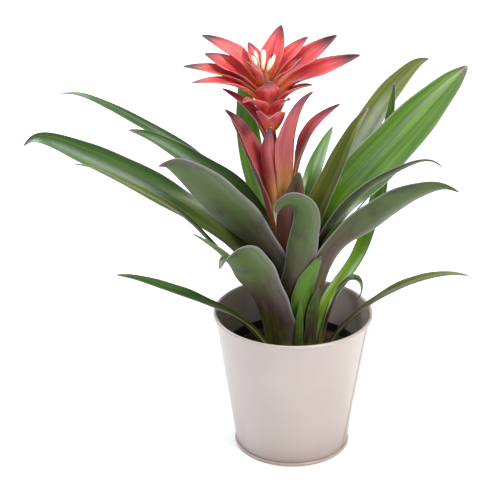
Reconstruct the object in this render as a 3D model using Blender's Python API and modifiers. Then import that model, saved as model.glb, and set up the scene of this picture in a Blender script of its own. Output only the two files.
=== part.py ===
"""Potted bromeliad: a metal pot, a nursery pot with its mix, and the plant leaf by leaf.

Metres, +Z up. The origin is the centre of the pot's base, and the pot stands on z = 0.
"""

import math

import bmesh
import bpy
from mathutils import Matrix, Vector

MM = 0.001

# Driving dimensions, in millimetres
POT_HEIGHT = 128.0
RIM_RADIUS = 70.0
RIM_BEAD = 1.6
WALL_TOP_RADIUS = 67.5
WALL_FOOT_RADIUS = 49.8
SHEET = 0.8
FOOT_RING_RADIUS = 51.2
FOOT_RING_HEIGHT = 3.0
GAP = 0.3
NURSERY_TOP_RADIUS = 60.0
NURSERY_FOOT_RADIUS = 43.0
NURSERY_TOP = 92.0
NURSERY_WALL = 1.0
SOIL_TOP = 88.0
SCAPE_RADIUS = 3.6
LEAF_THICKNESS = 0.8
BRACT_THICKNESS = 0.6
SHEATH_ARC = 0.95          # half angle, in radians, that a leaf's foot wraps round the plant
SHEATH_FLARE = 0.25        # share of its width that a leaf gains where its sheath is broadest
FLARED = range(17, 32)     # widths of the leaves whose sheaths flare: neither the narrow nor the broad
ROUND_STEPS = 56
BASE = SOIL_TOP + 0.5      # height of the leaves' feet
SCAPE_ROUTE = [(0, 0, BASE), (-1, 0, 130), (-4, 0, 165), (-8, 0, 205), (-13, 0, 250), (-19, 0, 290),
               (-24, 0, 320), (-26, 0, 345)]   # the flower stem leans to the left as it rises

# Leaves, from the heart of the rosette outwards. Each has the compass direction that its blade
# points to (0 is +X, 90 is +Y), its width, the roll of its blade about the midrib in degrees,
# and the route of its midrib in the upright plane of that direction: (out, up), or
# (out, side, up) where the leaf leaves that plane.
LEAVES = {
    "leaf_right_upper_narrow": (30, 22, 20, [
        (6.3, BASE), (9, 130), (14, 175), (25, 223), (37, 246), (47, 266), (60, 290), (72, 303)]),
    "leaf_left_upper_short": (160, 22, -30, [
        (7, BASE), (9.6, 130), (17, 180), (41, 220), (64, 240), (88, 251), (112, 263), (138, 273),
        (155, 275)]),
    "leaf_front_column": (270, 26, 0, [
        (11.6, 0, BASE), (17, 1, 125), (26, 3, 164), (30, 6, 189), (33, 9, 214), (35, 11, 230),
        (37, 7, 243), (38, -3, 248), (39, -11, 246), (39, -15, 235)]),
    "leaf_back_right_upper": (70, 17, 10, [
        (8.6, BASE), (12.2, 130), (17, 175), (25, 207), (40, 233), (69, 254), (98, 266)]),
    "leaf_front_left_broad": (208, 40, 50, [
        (10, BASE), (12, 130), (17, 166), (37, 200), (58, 227), (81, 254), (101, 275), (119, 286),
        (125, 284)]),
    "leaf_right_folded": (350, 20, -30, [
        (10.4, BASE), (13.8, 130), (18, 165), (24, 195), (39, 219), (57, 242), (81, 261), (102, 274),
        (114, 278), (125, 271)]),
    "leaf_back_tall": (120, 26, 0, [
        (15.3, BASE), (20, 130), (29, 170), (45, 202), (63, 222), (80, 247), (88, 272), (91, 300),
        (92, 333)]),
    "leaf_right_broad": (32, 40, 48, [
        (13.5, BASE), (17, 130), (22, 165), (30.5, 198), (43, 220), (68, 239), (98, 262), (131, 288),
        (158, 309), (178, 323)]),
    "leaf_left_upper_long": (148, 13, -20, [
        (16.8, BASE), (22.5, 130), (36, 170), (61, 213), (95, 245), (131, 260), (169, 271), (205, 280),
        (235, 284), (255, 280)]),
    "leaf_right_strip": (354, 8, -20, [
        (15.7, BASE), (19.7, 130), (24.6, 160), (32, 186), (48, 217), (64, 240)]),
    "leaf_right_front": (332, 31, -45, [
        (18, BASE), (22.5, 130), (30.5, 167), (42, 196), (63, 218), (89, 243), (113, 261), (136, 271),
        (150, 269)]),
    "leaf_left_long": (166, 27, -38, [
        (18, BASE), (25, 130), (37, 160), (54, 183), (81, 204), (116, 224), (150, 240), (194, 256),
        (228, 266), (239, 265), (247, 256)]),
    "leaf_right_olive": (58, 24, 20, [
        (18.8, BASE), (25.7, 130), (39, 170), (58, 208), (79, 232), (107, 253), (141, 274), (181, 290),
        (217, 298), (237, 296)]),
    "leaf_left_short": (207, 17, 20, [
        (20.5, BASE), (28.5, 130), (36.5, 150), (47, 165), (66, 192), (82, 208), (95, 219)]),
    "leaf_front_pointed": (288, 20, 0, [
        (19, 0, BASE), (25, 0, 125), (29, 0, 152), (31, 2, 166), (33, 7, 180), (35, 13, 193)]),
    "leaf_back_upper": (92, 22, 0, [
        (21, BASE), (29.5, 130), (45, 165), (70, 190), (100, 205), (130, 208), (150, 200)]),
    "leaf_left_under": (183, 12, 0, [
        (21.5, BASE), (31, 133), (45, 158), (62, 181), (99, 222), (142, 249), (168, 263), (188, 267)]),
    "leaf_back_low_left": (128, 18, 0, [
        (23, BASE), (34, 120), (52, 140), (76, 158), (105, 170), (135, 170), (155, 160)]),
    "leaf_front_strap": (281, 8, 0, [
        (27.5, BASE), (29, 111), (30.5, 131), (32.5, 152)]),
    "leaf_right_strap": (337, 6, 0, [
        (22, BASE), (26, 110), (30, 130), (34, 144)]),
    "leaf_front_left_turned": (238, 35, 35, [
        (24, BASE), (28, 115), (38, 147), (57, 179), (77, 205), (88, 214), (101, 216), (112, 210)]),
    "leaf_front_dark": (306, 14, 0, [
        (25, BASE), (28, 108), (30, 131), (33, 150), (36, 163)]),
    "leaf_right_low_narrow": (48, 15, 20, [
        (25.5, BASE), (37, 106), (52, 122), (70, 136), (90, 153), (104, 180), (115, 206), (121, 250),
        (128, 284), (131, 306)]),
    "leaf_right_curled": (348, 14, 0, [
        (26, BASE), (30, 115), (36, 140), (45, 158), (55, 165), (60, 156), (57, 144)]),
    "leaf_left_low": (188, 16, -20, [
        (20, 24, BASE + 2), (31, 17, 108), (48, 8, 124), (72, 3, 138), (97, 0, 149), (120, 0, 159),
        (140, 0, 167), (154, 0, 170)]),
    "leaf_right_low": (352, 11, 20, [
        (31, BASE), (37, 103), (50, 121), (67, 139), (89, 156), (113, 168), (138, 174), (151, 173)]),
}

# Bracts up the stem: direction, width, roll, and the midrib as (x, y, z).
STEM_BRACTS = {
    "bract_stem_front": (270, 28, 0, [(-2, -12, 172), (-3, -16, 196), (-2, -19, 217), (0, -22, 240),
                                      (4, -25, 268)]),
    "bract_stem_left_broad": (185, 25, -38, [(-19, -3, 205), (-26, -5, 234), (-32, -6, 262),
                                             (-40, -6, 287), (-49, -5, 304), (-59, -5, 315)]),
    "bract_stem_left_olive": (165, 15, -15, [(-19, 12, 215), (-30, 13, 241), (-40, 13, 268),
                                             (-48, 13, 288), (-55, 13, 302)]),
    "bract_stem_right": (5, 17, 30, [(1, 9, 238), (4, 9, 262), (9, 9, 280), (15, 9, 295),
                                     (25, 9, 306), (38, 9, 316)]),
    "bract_stem_left_high": (180, 15, -25, [(-21, 1, 270), (-28, 1, 292), (-36, 1, 309), (-48, 1, 322),
                                       (-61, 1, 331)]),
    "bract_stem_right_high": (312, 23, 0, [(-6, -6, 236), (-5, -9, 264), (-4, -12, 291),
                                           (1, -13, 312), (7, -12, 325), (15, -10, 333)]),
    "bract_stem_front_high": (262, 17, 0, [(-16, -8, 232), (-19, -9, 254), (-22, -12, 276),
                                           (-22, -16, 293), (-20, -19, 305)]),
}

# Bracts of the flower head: direction, width, roll, height of the foot, and the midrib's
# (out, up) from there, about the head's axis.
HEAD_BRACTS = {
    "bract_low_front": (267, 26, 0, 295, [(5, 0), (13, 13), (24, 21), (31, 21)]),
    "bract_low_right": (306, 17, 0, 301, [(5, 0), (12, 15), (20, 25), (28, 28)]),
    "bract_low_front_left": (231, 18, 0, 306, [(5, 0), (14, 13), (25, 21), (33, 22)]),
    "bract_low_right_side": (337, 16, 5, 312, [(5, 0), (16, 14), (29, 24), (40, 28)]),
    "bract_left_droop": (195, 16, -10, 318, [(5, 0), (20, 14), (42, 22), (64, 23)]),
    "bract_back_right": (42, 17, 10, 312, [(5, 0), (17, 12), (29, 20), (42, 26)]),
    "bract_left_long": (183, 18, -20, 322, [(5, 0), (20, 14), (45, 25), (69, 29)]),
    "bract_right_long": (0, 23, 34, 319, [(5, 0), (20, 15), (46, 29), (77, 42)]),
    "bract_front_cup": (277, 23, 0, 316, [(5, 0), (11, 11), (16, 19), (18, 28)]),
    "bract_back_left": (130, 17, -10, 314, [(5, 0), (16, 13), (28, 21), (40, 25)]),
    "bract_left_mid": (176, 23, -30, 327, [(5, 0), (20, 14), (36, 25), (51, 33)]),
    "bract_right_upper": (9, 25, 34, 325, [(5, 0), (20, 17), (40, 35), (59, 50)]),
    "bract_left_upper": (160, 21, -18, 334, [(5, 0), (20, 17), (38, 29), (57, 37)]),
    "bract_back": (92, 17, 0, 322, [(5, 0), (12, 12), (20, 20), (28, 24)]),
    "bract_right_small": (346, 14, 20, 331, [(5, 0), (12, 10), (22, 20), (30, 29)]),
    "bract_inner_left": (210, 17, -10, 336, [(5, 0), (10, 10), (17, 21)]),
    "bract_right_peak": (22, 20, 20, 334, [(5, 0), (14, 13), (26, 27), (38, 38)]),
    "bract_back_peak": (62, 22, 10, 337, [(5, 0), (12, 13), (20, 28), (28, 42)]),
    "bract_left_peak": (135, 17, -10, 340, [(5, 0), (11, 12), (20, 27)]),
    "bract_inner_right": (45, 13, 5, 343, [(4.5, 0), (7, 8), (10, 17)]),
}

# Buds that open from the head: foot (x, y, z), length, and lean in degrees towards a direction.
FLORETS = {
    "floret_left": ((-31, -2, 349), 13, 24, 190),
    "floret_front": ((-27, -5, 349), 13, 22, 275),
}


def clear_scene():
    for item in list(bpy.data.objects):
        bpy.data.objects.remove(item, do_unlink=True)
    for pile in (bpy.data.meshes, bpy.data.materials, bpy.data.curves):
        for item in list(pile):
            pile.remove(item)


def collection(name):
    made = bpy.data.collections.new(name)
    bpy.context.scene.collection.children.link(made)
    return made


def material(name, colour, roughness, metallic=0.0):
    made = bpy.data.materials.new(name)
    made.use_nodes = True
    shader = made.node_tree.nodes["Principled BSDF"]
    shader.inputs["Base Color"].default_value = (*colour, 1.0)
    shader.inputs["Roughness"].default_value = roughness
    shader.inputs["Metallic"].default_value = metallic
    return made


def add_object(name, mesh, finish, group):
    made = bpy.data.objects.new(name, mesh)
    mesh.materials.append(finish)
    mesh.shade_smooth()
    group.objects.link(made)
    return made


def turned(name, profile, finish, group):
    """A closed loop of (radius, height) in millimetres, turned once round the pot's axis."""
    shape = bmesh.new()
    corners = [shape.verts.new((radius * MM, 0, height * MM)) for radius, height in profile]
    for start, end in zip(corners, corners[1:] + corners[:1]):
        shape.edges.new((start, end))
    mesh = bpy.data.meshes.new(name)
    shape.to_mesh(mesh)
    shape.free()
    made = add_object(name, mesh, finish, group)
    screw = made.modifiers.new("turn", "SCREW")
    screw.axis = "Z"
    screw.angle = math.tau
    screw.steps = screw.render_steps = ROUND_STEPS
    screw.use_merge_vertices = True
    screw.merge_threshold = 0.00001
    screw.use_normal_calculate = False
    return made


def wall_radius(height):
    """Outer radius of the straight tapered wall at a height."""
    share = (height - FOOT_RING_HEIGHT) / (POT_HEIGHT - FOOT_RING_HEIGHT)
    return WALL_FOOT_RADIUS + (WALL_TOP_RADIUS - WALL_FOOT_RADIUS) * share


def make_pot_wall(group):
    """Tapered sheet-metal wall, with its top edge rolled outwards into a bead."""
    finish = material("pot_metal", (0.63, 0.57, 0.52), 0.4, 0.1)
    bead_centre = (RIM_RADIUS - RIM_BEAD, POT_HEIGHT - RIM_BEAD)
    bead = []
    for step in range(9):
        angle = math.radians(-75 + step * 240 / 8)
        bead.append((bead_centre[0] + RIM_BEAD * math.cos(angle),
                     bead_centre[1] + RIM_BEAD * math.sin(angle)))
    bead.reverse()
    foot = FOOT_RING_HEIGHT + GAP
    inner_top = POT_HEIGHT - 2 * RIM_BEAD
    profile = bead + [(wall_radius(foot), foot), (wall_radius(foot) - SHEET, foot),
                      (wall_radius(inner_top) - SHEET, inner_top)]
    return turned("pot_wall", profile, finish, group)


def make_pot_base(group):
    """Flat base disc, crimped into a ring that stands proud of the wall."""
    finish = material("base_metal", (0.63, 0.57, 0.52), 0.4, 0.1)
    outer = FOOT_RING_RADIUS
    inner = WALL_FOOT_RADIUS - SHEET - 0.8
    profile = [(0, SHEET), (inner, SHEET), (inner, FOOT_RING_HEIGHT), (outer - 0.8, FOOT_RING_HEIGHT),
               (outer, FOOT_RING_HEIGHT - 0.8), (outer, 0.8), (outer - 0.8, 0), (0, 0)]
    return turned("pot_base", profile, finish, group)


def make_nursery_pot(group):
    """Thin black plastic pot that the plant was raised in, with a rolled rim and drain holes."""
    finish = material("black_plastic", (0.02, 0.02, 0.02), 0.5)
    foot = SHEET + GAP
    profile = [(NURSERY_TOP_RADIUS - NURSERY_WALL, NURSERY_TOP),
               (NURSERY_TOP_RADIUS, NURSERY_TOP),
               (NURSERY_TOP_RADIUS, NURSERY_TOP - 6),
               (NURSERY_TOP_RADIUS - 1.6, NURSERY_TOP - 6),
               (NURSERY_FOOT_RADIUS, foot),
               (6, foot), (6, foot + 1.2),
               (NURSERY_FOOT_RADIUS - NURSERY_WALL, foot + 1.2),
               (NURSERY_TOP_RADIUS - 2.6, NURSERY_TOP - 6)]
    return turned("nursery_pot", profile, finish, group)


def make_potting_mix(group):
    """The body of mix inside the nursery pot, level round the plant."""
    finish = material("mix", (0.035, 0.025, 0.02), 0.9)
    foot = SHEET + GAP + 1.2 + GAP
    profile = [(0, SOIL_TOP), (38, SOIL_TOP), (NURSERY_TOP_RADIUS - 4.5, SOIL_TOP - 2),
               (NURSERY_TOP_RADIUS - 4.5, SOIL_TOP - 6),
               (NURSERY_FOOT_RADIUS - NURSERY_WALL - 1.4, foot), (0, foot)]
    return turned("potting_mix", profile, finish, group)


def along(route, count):
    """A smooth curve through a route's points, as count + 1 points at equal distances."""
    ends = [route[0] * 2 - route[1]] + list(route) + [route[-1] * 2 - route[-2]]
    fine = []
    for first, start, end, last in zip(ends, ends[1:], ends[2:], ends[3:]):
        for step in range(12):
            t = step / 12
            fine.append(0.5 * (2 * start + (end - first) * t
                               + (2 * first - 5 * start + 4 * end - last) * t * t
                               + (3 * start - first - 3 * end + last) * t ** 3))
    fine.append(route[-1])
    run = [0.0]
    for start, end in zip(fine, fine[1:]):
        run.append(run[-1] + (end - start).length)
    spaced = []
    place = 0
    for index in range(count + 1):
        wanted = run[-1] * index / count
        while place < len(run) - 2 and run[place + 1] < wanted:
            place += 1
        share = (wanted - run[place]) / (run[place + 1] - run[place])
        spaced.append(fine[place].lerp(fine[place + 1], min(share, 1.0)))
    return spaced


def smooth(share):
    """An even start and stop between 0 and 1."""
    held = min(max(share, 0.0), 1.0)
    return held * held * (3 - 2 * held)


def strap_outline(share, foot_half, half, flare=0.0):
    """Half width of a strap leaf: a sheath that flares low down, parallel edges, then a tip,
    blunter if the leaf is broad."""
    tip = (1 - share ** (3.4 + half / 5)) ** 0.75
    flare = 1 + flare * (share / 0.18 * math.exp(1 - share / 0.18)) ** 2
    return (foot_half + (half - foot_half) * smooth(share / 0.25)) * flare * max(tip, 0.06)


def bract_outline(share, foot_half, half):
    """Half width of a bract: a narrow foot, widest past the middle, then a point."""
    settle = math.sin(min(share / 0.5, 1.0) * math.pi / 2)
    return (foot_half + (half - foot_half) * settle) * max((1 - share ** 3.2) ** 0.9, 0.08)


def blade(name, route, heading, roll, outline, bend, rows, columns, thickness, finish, group,
          room=9.0):
    """A thin blade swept along its midrib, its section an arc that opens to the plant's axis.

    outline gives the half width and bend the arc's radius, both from the share of the length. A
    blade is at most room times as wide to each side as it is far from the pot's axis.
    """
    spine = along(route, rows)
    shape = bmesh.new()
    bmesh.ops.create_grid(shape, x_segments=rows, y_segments=columns, size=1.0)
    side = Vector((-math.sin(math.radians(heading)), math.cos(math.radians(heading)), 0))
    frames = []
    for index, point in enumerate(spine):
        ahead = (spine[min(index + 1, rows)] - spine[max(index - 1, 0)]).normalized()
        side = (side - ahead * side.dot(ahead)).normalized()
        turn = Matrix.Rotation(math.radians(roll) * smooth((index / rows - 0.3) / 0.3), 3, ahead)
        frames.append((point, turn @ side, turn @ ahead.cross(side)))
    for vert in shape.verts:
        share = (vert.co.x + 1) / 2
        point, across, inward = frames[round(share * rows)]
        radius = bend(share)
        half = min(outline(share), room * math.hypot(point.x, point.y))
        angle = vert.co.y * half / radius
        vert.co = (point + across * (radius * math.sin(angle))
                   + inward * (radius * (1 - math.cos(angle)))) * MM
    mesh = bpy.data.meshes.new(name)
    shape.to_mesh(mesh)
    shape.free()
    made = add_object(name, mesh, finish, group)
    wall = made.modifiers.new("thickness", "SOLIDIFY")
    wall.thickness = thickness * MM
    wall.offset = 0.0
    return made


def make_leaves(group):
    green = material("leaf_green", (0.10, 0.17, 0.04), 0.35)
    for name, (heading, width, roll, points) in LEAVES.items():
        turn = Matrix.Rotation(math.radians(heading), 3, "Z")
        route = [turn @ Vector(point if len(point) == 3 else (point[0], 0, point[1]))
                 for point in points]
        foot_radius = math.hypot(route[0].x, route[0].y)
        foot_half = min(width / 2, foot_radius * SHEATH_ARC)
        blade_radius = max(width * 0.75, 14)

        def outline(share, foot_half=foot_half, width=width):
            return strap_outline(share, foot_half, width / 2, SHEATH_FLARE if width in FLARED else 0.0)

        def bend(share, foot_radius=foot_radius, blade_radius=blade_radius):
            opened = min(share / 0.35, 1.0)
            return foot_radius + (blade_radius - foot_radius) * opened

        blade(name, route, heading, roll, outline, bend, 9, 4, LEAF_THICKNESS, green, group, SHEATH_ARC)


def make_scape(group):
    """The flower stem, inside its bracts."""
    finish = material("scape_tissue", (0.30, 0.16, 0.08), 0.5)
    route = [Vector(point) for point in SCAPE_ROUTE]
    curve = bpy.data.curves.new("scape", "CURVE")
    curve.dimensions = "3D"
    curve.bevel_depth = SCAPE_RADIUS * MM
    curve.bevel_resolution = 2
    curve.use_fill_caps = True
    line = curve.splines.new("POLY")
    points = along(route, 14)
    line.points.add(len(points) - 1)
    for spot, point in zip(line.points, points):
        spot.co = (*(point * MM), 1.0)
    curve.materials.append(finish)
    made = bpy.data.objects.new("scape", curve)
    group.objects.link(made)
    return made


def scape_centre(height):
    """The middle of the flower stem at a height."""
    for low, high in zip(SCAPE_ROUTE, SCAPE_ROUTE[1:]):
        if height <= high[2]:
            return Vector(low).lerp(Vector(high), (height - low[2]) / (high[2] - low[2]))
    return Vector(SCAPE_ROUTE[-1])


def make_bracts(group):
    red = material("bract_red", (0.62, 0.12, 0.08), 0.45)

    for name, (heading, width, roll, points) in STEM_BRACTS.items():
        def outline(share, width=width):
            return strap_outline(share, min(width * 0.32, 6.5), width / 2)

        def bend(share, width=width):
            return 6.5 + (width * 0.7 - 6.5) * share

        route = [Vector(point) for point in points]
        blade(name, route, heading, roll, outline, bend, 7, 2, BRACT_THICKNESS, red, group)

    for name, (heading, width, roll, foot, points) in HEAD_BRACTS.items():
        def outline(share, width=width):
            return bract_outline(share, 2.6, width / 2)

        def bend(share, width=width):
            return 5.0 + (width * 0.7 - 5.0) * share

        turn = Matrix.Rotation(math.radians(heading), 3, "Z")
        route = [turn @ Vector((out, 0, up)) + scape_centre(foot) for out, up in points]
        blade(name, route, heading, roll, outline, bend, 6, 2, BRACT_THICKNESS, red, group)


def make_florets(group):
    """Closed tubular buds, as narrow cones with flat tops."""
    finish = material("floret_cream", (0.85, 0.80, 0.62), 0.5)
    for name, (foot, length, lean, heading) in FLORETS.items():
        shape = bmesh.new()
        bmesh.ops.create_cone(shape, cap_ends=True, segments=8, radius1=1.2 * MM, radius2=0.9 * MM,
                              depth=length * MM)
        tilt = (Matrix.Translation(Vector(foot) * MM)
                @ Matrix.Rotation(math.radians(heading), 4, "Z")
                @ Matrix.Rotation(math.radians(lean), 4, "Y")
                @ Matrix.Translation((0, 0, length * MM / 2)))
        bmesh.ops.transform(shape, matrix=tilt, verts=shape.verts)
        mesh = bpy.data.meshes.new(name)
        shape.to_mesh(mesh)
        shape.free()
        add_object(name, mesh, finish, group)


def main():
    clear_scene()
    group = collection("potted_bromeliad")
    make_pot_wall(group)
    make_pot_base(group)
    make_nursery_pot(group)
    make_potting_mix(group)
    make_scape(group)
    make_leaves(group)
    make_bracts(group)
    make_florets(group)


main()
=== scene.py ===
# %% [markdown]
# # A potted bromeliad
# A painted metal pot holds a black nursery pot and its mix, and from the mix rises a rosette of
# strap leaves round a stem of red bracts. The frame gives every piece's place and size. Here each
# one is modelled again with the detail of the real thing, and stands in for its plain solid.

# %% Load the frame
import math
import random

import bmesh
import bpy
from mathutils import Matrix, Vector


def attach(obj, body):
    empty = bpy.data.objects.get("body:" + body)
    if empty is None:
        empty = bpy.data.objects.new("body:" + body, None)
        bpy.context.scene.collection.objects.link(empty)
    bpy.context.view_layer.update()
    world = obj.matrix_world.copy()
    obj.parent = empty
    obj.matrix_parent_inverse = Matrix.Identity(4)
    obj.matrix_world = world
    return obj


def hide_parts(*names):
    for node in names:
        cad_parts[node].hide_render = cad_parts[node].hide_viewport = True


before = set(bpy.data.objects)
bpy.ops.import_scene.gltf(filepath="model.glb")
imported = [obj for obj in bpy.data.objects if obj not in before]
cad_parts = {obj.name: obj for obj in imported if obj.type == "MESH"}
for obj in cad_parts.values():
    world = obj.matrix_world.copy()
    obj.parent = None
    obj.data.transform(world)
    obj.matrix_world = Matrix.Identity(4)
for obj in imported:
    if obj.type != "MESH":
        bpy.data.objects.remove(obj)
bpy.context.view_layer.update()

MM = 0.001

# %% [markdown]
# ## Camera, light and floor
# The plant is seen from a little above, with a long lens from well back, so that its leaves keep
# their true proportions. Light is a wide white tent, as round a plant on a seller's table: a pale
# sky all round, a cool panel above and behind, which puts the blue sheen on waxy leaves, and a
# smaller, warmer key from the front right, whose shadows part one leaf from the next.

# %% Set up the studio
CAMERA_PLACE = Vector((0.0, -1.300, 0.7637))
CAMERA_TURN = (math.radians(66.30), 0.0, math.radians(1.66))
LENS_MM = 118.8
SENSOR_MM = 36.0
LAMP_AIM = Vector((0, 0, 0.2))
TENT_COLOUR = (0.95, 0.97, 1.0, 1.0)
TENT_STRENGTH = 0.58
PAPER_COLOUR = (0.93, 0.93, 0.93, 1)
PAPER_ROUGHNESS = 0.9

scene = bpy.context.scene
bpy.ops.object.select_all(action="DESELECT")
bpy.ops.object.camera_add(location=CAMERA_PLACE, rotation=CAMERA_TURN)
camera = bpy.context.object
camera.name = "camera"
camera.data.lens = LENS_MM
camera.data.sensor_width = SENSOR_MM
scene.camera = camera
scene.view_settings.view_transform = "Standard"
scene.view_settings.look = "Medium High Contrast"


def panel(name, place, size, watts, colour):
    """A soft square lamp that faces a point on the plant."""
    bpy.ops.object.light_add(type="AREA", location=place)
    lamp = bpy.context.object
    lamp.name = name
    lamp.data.shape = "SQUARE"
    lamp.data.size = size
    lamp.data.energy = watts
    lamp.data.color = colour
    lamp.rotation_euler = (LAMP_AIM - Vector(place)).to_track_quat("-Z", "Y").to_euler()


panel("key_front_right", (1.0, -1.1, 1.5), 0.3, 23, (1.0, 0.96, 0.90))
panel("cool_back_left", (-1.0, 0.9, 1.3), 1.1, 22, (0.88, 0.94, 1.0))
panel("top", (0.1, 0.1, 1.7), 0.9, 15, (0.94, 0.98, 1.0))

world = bpy.data.worlds.new("tent")
scene.world = world
world.use_nodes = True
sky = world.node_tree.nodes["Background"]
sky.inputs["Color"].default_value = TENT_COLOUR
sky.inputs["Strength"].default_value = TENT_STRENGTH

bpy.ops.mesh.primitive_plane_add(size=14, location=(0, 3, 0))
floor = bpy.context.object
floor.name = "floor"
paper = bpy.data.materials.new("floor_paper")
paper.use_nodes = True
coating = paper.node_tree.nodes["Principled BSDF"]
coating.inputs["Base Color"].default_value = PAPER_COLOUR
coating.inputs["Roughness"].default_value = PAPER_ROUGHNESS
floor.data.materials.append(paper)
print("studio: camera, three lamps, tent and white floor")

# %% [markdown]
# ## Hand tools
# These small helpers do what a hand does: take hold of one piece, pick its points or faces by
# where they are, apply what has been set up on it, and say which solid of the frame it stands for.


# %% Selecting by place
def alone(piece):
    """Makes a piece the only selected object."""
    bpy.ops.object.select_all(action="DESELECT")
    piece.select_set(True)
    bpy.context.view_layer.objects.active = piece


def pick(piece, wanted):
    """In edit mode, selects the points that wanted(place) is true for."""
    bpy.ops.mesh.select_mode(type="VERT")
    bpy.ops.mesh.select_all(action="DESELECT")
    cage = bmesh.from_edit_mesh(piece.data)
    for vert in cage.verts:
        if wanted(vert.co):
            vert.select = True
    cage.select_flush(True)
    bmesh.update_edit_mesh(piece.data)


def pick_faces(piece, wanted):
    """In edit mode, selects the faces that wanted(middle, normal) is true for."""
    bpy.ops.mesh.select_mode(type="FACE")
    bpy.ops.mesh.select_all(action="DESELECT")
    cage = bmesh.from_edit_mesh(piece.data)
    for face in cage.faces:
        if wanted(face.calc_center_median(), face.normal):
            face.select = True
    bmesh.update_edit_mesh(piece.data)


def apply_all(piece):
    """Applies every modifier of a piece, in order."""
    alone(piece)
    for name in [modifier.name for modifier in piece.modifiers]:
        bpy.ops.object.modifier_apply(modifier=name)


def belongs(piece, slot, *nodes):
    """The piece rides on the plant's one body and stands for its plain solids."""
    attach(piece, "root")
    if nodes:
        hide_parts(*nodes)


print("hand tools: alone, pick, pick_faces, apply_all, belongs")

# %% [markdown]
# ## Leaf tissue
# A bromeliad leaf has two faces. The upper one is waxy and green, with fine parallel veins. The
# lower one is matt, dusted with pale scurf over purple grey, and one half of it carries a painted
# sheen. Both patterns run along the leaf, so they are drawn in the leaf's own UV map: U from foot
# to tip, V from margin to margin.


# %% Node helpers
MIX_SHARE, MIX_FIRST, MIX_SECOND, MIX_RESULT = 0, 6, 7, 2    # the colour sockets of a Mix node


def new_material(name):
    """A material, its node tree and its Principled shader."""
    made = bpy.data.materials.new(name)
    made.use_nodes = True
    tree = made.node_tree
    return made, tree, tree.nodes["Principled BSDF"]


def node(tree, kind, inputs=None, **settings):
    """Adds a node, sets its properties, and fills or links its inputs."""
    made = tree.nodes.new(kind)
    for key, value in settings.items():
        setattr(made, key, value)
    for key, value in (inputs or {}).items():
        if isinstance(value, bpy.types.NodeSocket):
            tree.links.new(value, made.inputs[key])
        else:
            made.inputs[key].default_value = value
    return made


def math_node(tree, operation, first, second=0.0, clamp=False):
    """One sum, on two numbers or sockets."""
    made = node(tree, "ShaderNodeMath", {0: first, 1: second}, operation=operation)
    made.use_clamp = clamp
    return made.outputs[0]


def ramp(tree, value, stops):
    """A colour ramp from (place, colour) stops."""
    made = node(tree, "ShaderNodeValToRGB", {"Fac": value})
    bands = made.color_ramp.elements
    while len(bands) < len(stops):
        bands.new(0.5)
    for band, (place, colour) in zip(bands, stops):
        band.position = place
        band.color = (*colour, 1.0)
    return made.outputs["Color"]


def grey_ramp(tree, value, low, high, dark=0.0, light=1.0):
    """A ramp of plain values between two places."""
    return ramp(tree, value, [(low, (dark,) * 3), (high, (light,) * 3)])


def mix(tree, share, first, second):
    """The first colour, turning into the second as the share goes from 0 to 1."""
    made = node(tree, "ShaderNodeMix", data_type="RGBA")
    for place, value in ((MIX_SHARE, share), (MIX_FIRST, first), (MIX_SECOND, second)):
        socket = made.inputs[place]
        if isinstance(value, bpy.types.NodeSocket):
            tree.links.new(value, socket)
        elif isinstance(value, tuple):
            socket.default_value = (*value, 1.0)
        else:
            socket.default_value = value
    return made.outputs[MIX_RESULT]


def clouds(tree, scale, detail):
    """Soft patches that stay fixed to the piece."""
    place = node(tree, "ShaderNodeTexCoord").outputs["Object"]
    noise = node(tree, "ShaderNodeTexNoise", {"Vector": place, "Scale": scale, "Detail": detail})
    return noise.outputs["Fac"]


def emboss(tree, shader, height, strength, distance):
    """Raises the surface a little where height is high."""
    bump = node(tree, "ShaderNodeBump",
                {"Height": height, "Strength": strength, "Distance": distance})
    tree.links.new(bump.outputs[0], shader.inputs["Normal"])


def streaks(tree, across, along, scale, detail, seed):
    """Long thin streaks that follow the blade."""
    uv = node(tree, "ShaderNodeTexCoord").outputs["UV"]
    stretched = node(tree, "ShaderNodeMapping", {
        "Vector": uv, "Scale": (along, across, 1.0), "Location": (seed, seed * 1.7, seed)})
    noise = node(tree, "ShaderNodeTexNoise", {
        "Vector": stretched.outputs[0], "Scale": scale, "Detail": detail, "Roughness": 0.6})
    return noise.outputs["Fac"]


def margins(tree, width):
    """1 at the two margins of a blade, falling to 0 a share of the width in."""
    uv = node(tree, "ShaderNodeTexCoord").outputs["UV"]
    v = node(tree, "ShaderNodeSeparateXYZ", {0: uv}).outputs["Y"]
    off = math_node(tree, "ABSOLUTE", math_node(tree, "SUBTRACT", v, 0.5))
    inwards = math_node(tree, "SUBTRACT", off, 0.5 - width)
    return math_node(tree, "DIVIDE", inwards, width, clamp=True)


def blade_share(tree):
    """0 at a blade's foot, 1 at its tip."""
    uv = node(tree, "ShaderNodeTexCoord").outputs["UV"]
    return node(tree, "ShaderNodeSeparateXYZ", {0: uv}).outputs["X"]


print("node helpers ready")

# %% [markdown]
# ## Leaf finishes
# Every leaf wears two finishes and a margin: a waxy green face above, a matt olive and purple one
# below, and a thin dry edge. They could be painted on by hand, but noise stretched along U gives
# veins that run with the leaf however it bends. Each finish takes its own colours and seed, so
# that one recipe serves young and old leaves alike.


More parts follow.
